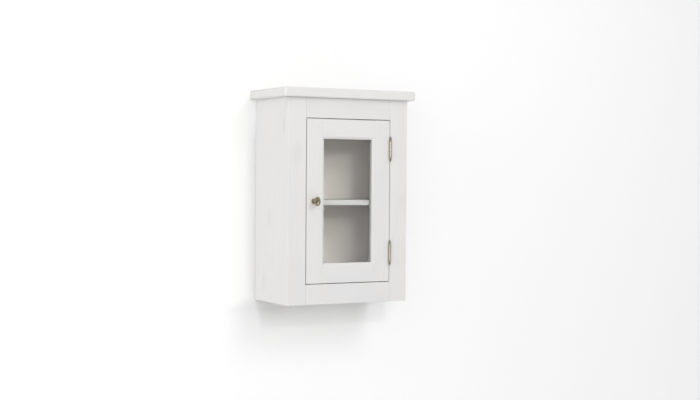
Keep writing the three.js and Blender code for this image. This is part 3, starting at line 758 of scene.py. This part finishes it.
def turned_shape(graph, given, profile):
    """A turned solid along +Z: Length, Radius, Rings and Sides, with its outline as a curve of
    (share of the length, share of the radius)."""
    start = graph.add("GeometryNodeCurvePrimitiveLine")
    end = graph.add("ShaderNodeCombineXYZ", Z=given["Length"])
    graph.put(start, "End", end)
    line = graph.add("GeometryNodeResampleCurve", Curve=start, Count=given["Rings"])
    share = graph.add("GeometryNodeSplineParameter").outputs["Factor"]
    outline = graph.add("ShaderNodeFloatCurve", Value=share)
    curve = outline.mapping.curves[0]
    curve.points[0].location = profile[0]
    curve.points[1].location = profile[-1]
    for point in profile[1:-1]:
        curve.points.new(*point)
    for point in curve.points:
        point.handle_type = "VECTOR"
    outline.mapping.update()
    circle = graph.add("GeometryNodeCurvePrimitiveCircle", Resolution=given["Sides"],
                       Radius=given["Radius"])
    solid = graph.add("GeometryNodeCurveToMesh", Curve=line)
    graph.put(solid, "Profile Curve", circle)
    graph.put(solid, "Scale", outline)
    graph.put(solid, "Fill Caps", True)
    return graph.add("GeometryNodeMergeByDistance", Geometry=solid, Distance=SAME_POINT)


def stand_on_places(graph, given, solid):
    """Stands the solid on every place, along its aim, turned about itself by its spin."""
    aim = graph.add("GeometryNodeInputNamedAttribute", {"data_type": "FLOAT_VECTOR"}, Name="aim")
    spin = graph.add("GeometryNodeInputNamedAttribute", {"data_type": "FLOAT"}, Name="spin")
    own = graph.add("FunctionNodeAxisAngleToRotation", Axis=(0.0, 0.0, 1.0), Angle=spin)
    towards = graph.add("FunctionNodeAlignRotationToVector", {"axis": "Z"}, Vector=aim)
    both = graph.add("FunctionNodeRotateRotation", {"rotation_space": "LOCAL"})
    graph.put(both, 0, towards)
    graph.put(both, 1, own)
    copies = graph.add("GeometryNodeInstanceOnPoints", Points=given["Places"], Instance=solid,
                       Rotation=both)
    return graph.add("GeometryNodeRealizeInstances", Geometry=copies)


def close_tree(graph, given, solid):
    """Gives the realized shape its material and ends the tree."""
    finish = graph.add("GeometryNodeSetMaterial", Geometry=solid, Material=given["Finish"])
    graph.put(graph.add("NodeGroupOutput"), "Shape", finish)


TURNED_INPUTS = {
    "Length": ("Float", 0.01), "Radius": ("Float", 0.004), "Rings": ("Int", 24),
    "Sides": ("Int", 32), "Finish": ("Material", None),
}


def turned_tree(name, profile):
    """A tree that stands one turned solid on each place."""
    tree, graph, given = shape_tree(name, TURNED_INPUTS)
    solid = turned_shape(graph, given, profile)
    close_tree(graph, given, stand_on_places(graph, given, solid))
    return tree


SCREW_PROFILE = [
    (0.0, 0.94), (0.012, 1.0), (0.02, 1.0), (0.13, 0.54), (0.80, 0.50), (0.9, 0.36), (1.0, 0.0),
]


def screw_tree():
    """Countersunk screw with a cross recess in its head."""
    inputs = dict(TURNED_INPUTS)
    inputs["Cross Width"] = ("Float", CROSS_WIDTH)
    inputs["Cross Depth"] = ("Float", CROSS_DEPTH)
    tree, graph, given = shape_tree("cross_head_screws", inputs)
    solid = turned_shape(graph, given, SCREW_PROFILE)
    arms = []
    for turn in (0.0, math.pi / 2):
        reach = graph.math("MULTIPLY", given["Radius"], CROSS_REACH)
        deep = graph.math("MULTIPLY", given["Cross Depth"], 2.0)
        size = graph.add("ShaderNodeCombineXYZ", X=reach, Y=given["Cross Width"], Z=deep)
        arm = graph.add("GeometryNodeMeshCube", Size=size)
        arms.append(graph.add("GeometryNodeTransform", Geometry=arm, Rotation=(0.0, 0.0, turn)))
    cross = graph.add("GeometryNodeMeshBoolean", {"operation": "UNION", "solver": "EXACT"})
    for arm in arms:
        graph.put(cross, "Mesh 2", arm)
    cut = graph.add("GeometryNodeMeshBoolean", {"operation": "DIFFERENCE", "solver": "EXACT"})
    graph.put(cut, "Mesh 1", solid)
    graph.put(cut, "Mesh 2", cross)
    close_tree(graph, given, stand_on_places(graph, given, cut))
    return tree


def built_by_tree(name, tree, places, sizes):
    """Runs a tree on places, each (point, aim, spin), and gives the result as a plain mesh."""
    points = bpy.data.meshes.new(name)
    points.from_pydata([place[0] for place in places], [], [])
    points.attributes.new("aim", "FLOAT_VECTOR", "POINT")
    points.attributes.new("spin", "FLOAT", "POINT")
    for number, (_, aim, spin) in enumerate(places):
        points.attributes["aim"].data[number].vector = aim
        points.attributes["spin"].data[number].value = spin
    holder = bpy.data.objects.new(name, points)
    scene.collection.objects.link(holder)
    modifier = holder.modifiers.new("shape", "NODES")
    modifier.node_group = tree
    for item in tree.interface.items_tree:
        if item.in_out == "INPUT" and item.name in sizes:
            modifier[item.identifier] = sizes[item.name]
    mesh = finished_mesh(holder)
    mesh.name = name
    mesh.shade_smooth()
    mesh.set_sharp_from_angle(angle=CREASE)
    return mesh


# ---------------------------------------------------------------- hinges

FINIAL_PROFILE = [
    (0.0, 0.90), (0.05, 1.0), (0.10, 0.92), (0.15, 0.60), (0.22, 0.58), (0.30, 0.78), (0.42, 0.88),
    (0.54, 0.80), (0.64, 0.52), (0.72, 0.33), (0.78, 0.42), (0.86, 0.46), (0.94, 0.34), (1.0, 0.0),
]
KNUCKLE_PROFILE = [(0.0, 0.90), (0.03, 1.0), (0.97, 1.0), (1.0, 0.90)]
UP = Vector((0, 0, 1))


def leaf_plate(bm, word, side):
    """The flat part of a leaf, with the strip that runs on into its own knuckles."""
    middle = hinge_middle(word)
    inner = middle.x + side * CLEARANCE
    outer = inner + side * LEAF_THICK
    front = middle.y + BARREL_RADIUS + CLEARANCE
    half = BARREL_LENGTH / 2
    own = DOOR_KNUCKLE / 2
    if side < 0:
        tongues = [(-own, own)]
    else:
        tongues = [(-half, -own - KNUCKLE_GAP), (own + KNUCKLE_GAP, half)]
    strips = [(front, front + LEAF_WIDTH, -half, half)]
    strips += [(middle.y, front, bottom, top) for bottom, top in tongues]
    for near, far, bottom, top in strips:
        size = Matrix.Diagonal((abs(outer - inner), far - near, top - bottom, 1))
        centre = ((inner + outer) / 2, (near + far) / 2, middle.z + (bottom + top) / 2)
        bmesh.ops.create_cube(bm, size=1.0, matrix=Matrix.Translation(centre) @ size)


def leaf_mesh(name, side, knuckles):
    """Both hinges' leaves on one body: their rolled knuckles and their flat plates."""
    bm = bmesh.new()
    bm.from_mesh(knuckles)
    for word in HINGES:
        leaf_plate(bm, word, side)
    mesh = bpy.data.meshes.new(name)
    bm.to_mesh(mesh)
    bm.free()
    mesh.set_sharp_from_angle(angle=CREASE)
    return mesh


def add_hinges():
    """Three rolled knuckles, two leaves and two finials on each hinge. The pins keep their mesh."""
    half = BARREL_LENGTH / 2
    own = DOOR_KNUCKLE / 2
    barrel = turned_tree("rolled_knuckles", KNUCKLE_PROFILE)
    sizes = {"Radius": BARREL_RADIUS, "Rings": 34, "Sides": 40, "Finish": HINGE_METAL}
    outer_length = half - own - KNUCKLE_GAP
    outer_places = []
    door_places = []
    finial_places = []
    for word in HINGES:
        middle = hinge_middle(word)
        outer_places.append((middle - UP * half, UP, 0.0))
        outer_places.append((middle + UP * (own + KNUCKLE_GAP), UP, 0.0))
        door_places.append((middle - UP * own, UP, 0.0))
        finial_places.append((middle + UP * (half + CLEARANCE), UP, 0.0))
        finial_places.append((middle - UP * (half + CLEARANCE), -UP, 0.0))
    for piece, body, kind, side, length, places in (
            ("hinge_leaves_on_frame", "case", "frame", 1, outer_length, outer_places),
            ("hinge_leaves_on_door", "door", "door", -1, DOOR_KNUCKLE, door_places)):
        knuckles = built_by_tree(f"{kind}_knuckles", barrel, places, {**sizes, "Length": length})
        add_piece(piece, leaf_mesh(piece, side, knuckles), body, HINGE_METAL,
                  [f"{word}_hinge_{kind}_leaf" for word in HINGES])
    low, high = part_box("upper_hinge_finial_top")
    finials = built_by_tree(
        "hinge_finials", turned_tree("finials", FINIAL_PROFILE), finial_places,
        {"Length": high.z - low.z, "Radius": (high.x - low.x) / 2, "Rings": 90, "Sides": 32,
         "Finish": HINGE_METAL})
    add_piece("hinge_finials", finials, "case", None,
              [f"{word}_hinge_finial_{end}" for word in HINGES for end in ("top", "bottom")])
    for word in HINGES:
        frame["nodes"][f"{word}_hinge_pin"].material_slots[0].material = HINGE_METAL


# ---------------------------------------------------------------- screws and pins

SCREW_AIMS = {
    "hinge_frame_screw": Vector((1, 0, 0)),
    "hinge_door_screw": Vector((-1, 0, 0)),
    "hanger_screw": Vector((0, -1, 0)),
    "strike_screw": Vector((0, -1, 0)),
    "catch_screw": Vector((0, 0, -1)),
}


def head_place(node, aim):
    """Middle of a screw's head: the end of its box that its aim points away from."""
    low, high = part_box(node)
    centre = (low + high) / 2
    return centre - aim * abs(aim.dot(high - low)) / 2


def add_screws():
    """One piece for each body and place. Each screw is turned a little further than the last."""
    tree = screw_tree()
    groups = [
        ("hinge_screws_in_frame", "case", ["hinge_frame_screw"], HINGE_METAL, "aged_brass"),
        ("hinge_screws_in_door", "door", ["hinge_door_screw"], HINGE_METAL, "aged_brass"),
        ("hanger_and_catch_screws", "case", ["hanger_screw", "catch_screw"], ZINC, "zinc_steel"),
        ("strike_plate_screw", "door", ["strike_screw"], ZINC, "zinc_steel"),
    ]
    for name, body, kinds, metal, slot in groups:
        nodes = [n for n in sorted(frame["nodes"]) for kind in kinds if kind in n]
        places = []
        for number, node in enumerate(nodes):
            aim = next(SCREW_AIMS[kind] for kind in kinds if kind in node)
            places.append((head_place(node, aim), aim, SCREW_SPIN * number))
        low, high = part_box(nodes[0])
        mesh = built_by_tree(name, tree, places, {
            "Length": max(high - low), "Radius": SCREW_HEAD, "Rings": 60, "Sides": 32,
            "Finish": metal})
        add_piece(name, mesh, body, None, nodes)


PIN_PROFILE = [
    (0.0, 0.55), (0.03, 0.86), (0.07, 1.0), (0.46, 1.0), (0.49, 0.84), (0.52, 1.0), (0.93, 1.0),
    (0.97, 0.86), (1.0, 0.55),
]


def add_shelf_pins():
    """The four pins as one piece. Half of each pin is in its hole in the side panel."""
    nodes = sorted(n for n in frame["nodes"] if n.startswith("shelf_pin"))
    places = []
    for node in nodes:
        low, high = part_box(node)
        aim = Vector((1, 0, 0)) if low.x > 0 else Vector((-1, 0, 0))
        places.append((head_place(node, aim), aim, 0.0))
    low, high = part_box(nodes[0])
    mesh = built_by_tree("shelf_pins", turned_tree("shelf_pins", PIN_PROFILE), places, {
        "Length": high.x - low.x, "Radius": PIN_RADIUS, "Rings": 70, "Sides": 28, "Finish": ZINC})
    add_piece("shelf_pins", mesh, "case", None, nodes)


def finish_small_fittings():
    """Materials for the fittings that keep their CAD meshes."""
    for node in ("left_hanger_plate", "right_hanger_plate", "strike_plate", "knob_screw"):
        frame["nodes"][node].material_slots[0].material = ZINC
    frame["nodes"]["catch_case"].material_slots[0].material = PLASTIC
    frame["nodes"]["catch_magnet"].material_slots[0].material = MAGNET


# ---------------------------------------------------------------- room and light

FLOOR_BELOW = 1.1
WALL_BEHIND = 1.5 * MM
WALL_HALF = 4.0
MATT = 0.9
LITTLE_SHINE = 0.1
SHADE_SAMPLES = 16

# Angles in degrees from straight in front and from level, distances and sizes in metres
FRONT_LIGHT = {"azimuth": -10, "elevation": 14.5, "distance": 3.0, "size": 0.22, "watts": 8.8}
HIGH_LIGHT = {"azimuth": 12, "elevation": 30, "distance": 3.0, "size": 0.9, "watts": 14}
SIDE_LIGHT = {"azimuth": -88, "elevation": 12, "distance": 3.0, "size": 1.8, "watts": 26.5}
FILL_LIGHT = {"azimuth": -32, "elevation": 4, "distance": 3.0, "size": 1.6, "watts": 5.5}

# Strength of the white sky, and the heights of a direction between which it changes
SKY_ABOVE = 0.80
SKY_BELOW = 0.54
SKY_FADE = (-0.6, 0.6)
WALL_PAINT = 0.98
FLOOR_PAINT = 0.86

# Contact shade on the wall, beside the cabinet and under it: how far it reaches and how dark it
# gets. TOP_FADE is in heights, and the next two are in heights above the case's foot. OPEN_SKY is
# how much of the sky a spot sees when it is fully shaded and when it isn't.
CONTACT_REACH = 0.04
CONTACT_SHADE = 0.22
UNDER_REACH = 0.13
UNDER_SHADE = 0.62
TOP_FADE = (-0.10, 0.02)
FOOT_CHANGE = (-0.03, 0.01)
FLOOR_FADE = (-0.40, -0.20)
OPEN_SKY = (0.45, 1.0)


def flat_panel(name, corners, material):
    """One flat stage face."""
    mesh = bpy.data.meshes.new(name)
    mesh.from_pydata(corners, [], [(0, 1, 2, 3)])
    mesh.materials.append(material)
    panel = bpy.data.objects.new(name, mesh)
    scene.collection.objects.link(panel)
    return panel


def contact_shade(graph):
    """Share of black in the wall's paint, from how much of the cabinet stands over each spot."""
    place = graph.add("ShaderNodeTexCoord").outputs["Object"]
    height = graph.add("ShaderNodeSeparateXYZ", Vector=place).outputs[2]
    from_foot = graph.math("SUBTRACT", height, cad_low.z)
    reach = graph.ramp(from_foot, *FOOT_CHANGE, UNDER_REACH, CONTACT_REACH)
    depth = graph.ramp(from_foot, *FOOT_CHANGE, UNDER_SHADE, CONTACT_SHADE)
    below_top = graph.ramp(height, *TOP_FADE, 1.0, 0.0)
    above_floor = graph.ramp(from_foot, *FLOOR_FADE, 0.0, 1.0)
    sky = graph.add("ShaderNodeAmbientOcclusion", {"samples": SHADE_SAMPLES}, Distance=reach)
    hidden = graph.ramp(sky.outputs["AO"], *OPEN_SKY, 1.0, 0.0)
    here = graph.math("MULTIPLY", below_top, above_floor)
    return graph.math("MULTIPLY", graph.math("MULTIPLY", hidden, depth), here)


def add_wall():
    """The wall shows only from the front, so that the cabinet's back can be seen from behind."""
    material, graph, _ = new_material("wall_paint")
    back = graph.add("ShaderNodeNewGeometry").outputs["Backfacing"]
    output = next(n for n in material.node_tree.nodes if n.type == "OUTPUT_MATERIAL")
    white = rgb(WALL_PAINT, WALL_PAINT, WALL_PAINT)
    colour = graph.blend(contact_shade(graph), white, rgb(0.0, 0.0, 0.0))
    paint = graph.add("ShaderNodeBsdfDiffuse", Color=colour)
    clear = graph.add("ShaderNodeBsdfTransparent")
    both = graph.add("ShaderNodeMixShader")
    graph.put(both, 0, back)
    graph.put(both, 1, paint)
    graph.put(both, 2, clear)
    graph.put(output, "Surface", both)
    low, high = cad_low.z - FLOOR_BELOW, cad_high.z + WALL_HALF
    corners = [(-WALL_HALF, WALL_BEHIND, low), (WALL_HALF, WALL_BEHIND, low),
               (WALL_HALF, WALL_BEHIND, high), (-WALL_HALF, WALL_BEHIND, high)]
    wall = flat_panel("wall", corners, material)
    wall.visible_diffuse = False
    wall.visible_glossy = False
    wall.visible_shadow = False


def add_floor():
    material, _, shader = new_material("floor_paint")
    shader.inputs["Base Color"].default_value = rgb(FLOOR_PAINT, FLOOR_PAINT, FLOOR_PAINT)
    shader.inputs["Roughness"].default_value = MATT
    shader.inputs["Specular IOR Level"].default_value = LITTLE_SHINE
    z = cad_low.z - FLOOR_BELOW
    corners = [(-WALL_HALF, -WALL_HALF, z), (WALL_HALF, -WALL_HALF, z),
               (WALL_HALF, WALL_HALF, z), (-WALL_HALF, WALL_HALF, z)]
    flat_panel("floor", corners, material)


def add_softbox(name, azimuth, elevation, distance, size, watts):
    """A square light aimed at the middle of the cabinet. Azimuth 0 is straight in front. The
    lamp itself isn't seen through the glass."""
    centre = (cad_low + cad_high) / 2
    a, e = math.radians(azimuth), math.radians(elevation)
    away = Vector((math.sin(a) * math.cos(e), -math.cos(a) * math.cos(e), math.sin(e)))
    data = bpy.data.lights.new(name, "AREA")
    data.shape = "SQUARE"
    data.size = size
    data.energy = watts
    lamp = bpy.data.objects.new(name, data)
    lamp.location = centre + away * distance
    lamp.rotation_mode = "QUATERNION"
    lamp.rotation_quaternion = away.to_track_quat("Z", "Y")
    scene.collection.objects.link(lamp)
    lamp.visible_transmission = False


def add_world():
    """A white studio that is brighter above than below."""
    world = bpy.data.worlds.new("studio")
    scene.world = world
    world.use_nodes = True
    graph = Graph(world.node_tree)
    background = next(n for n in world.node_tree.nodes if n.type == "BACKGROUND")
    heading = graph.add("ShaderNodeTexCoord").outputs["Generated"]
    height = graph.add("ShaderNodeSeparateXYZ", Vector=heading).outputs[2]
    graph.put(background, "Strength", graph.ramp(height, *SKY_FADE, SKY_BELOW, SKY_ABOVE))
    background.inputs["Color"].default_value = rgb(1.0, 1.0, 1.0)


# ---------------------------------------------------------------- build

scene.view_settings.view_transform = "Standard"
add_camera()
add_case()
add_door()
add_knob()
add_hinges()
add_screws()
add_shelf_pins()
finish_small_fittings()
add_wall()
add_floor()
add_softbox("front_light", **FRONT_LIGHT)
add_softbox("high_light", **HIGH_LIGHT)
add_softbox("side_light", **SIDE_LIGHT)
add_softbox("fill_light", **FILL_LIGHT)
add_world()
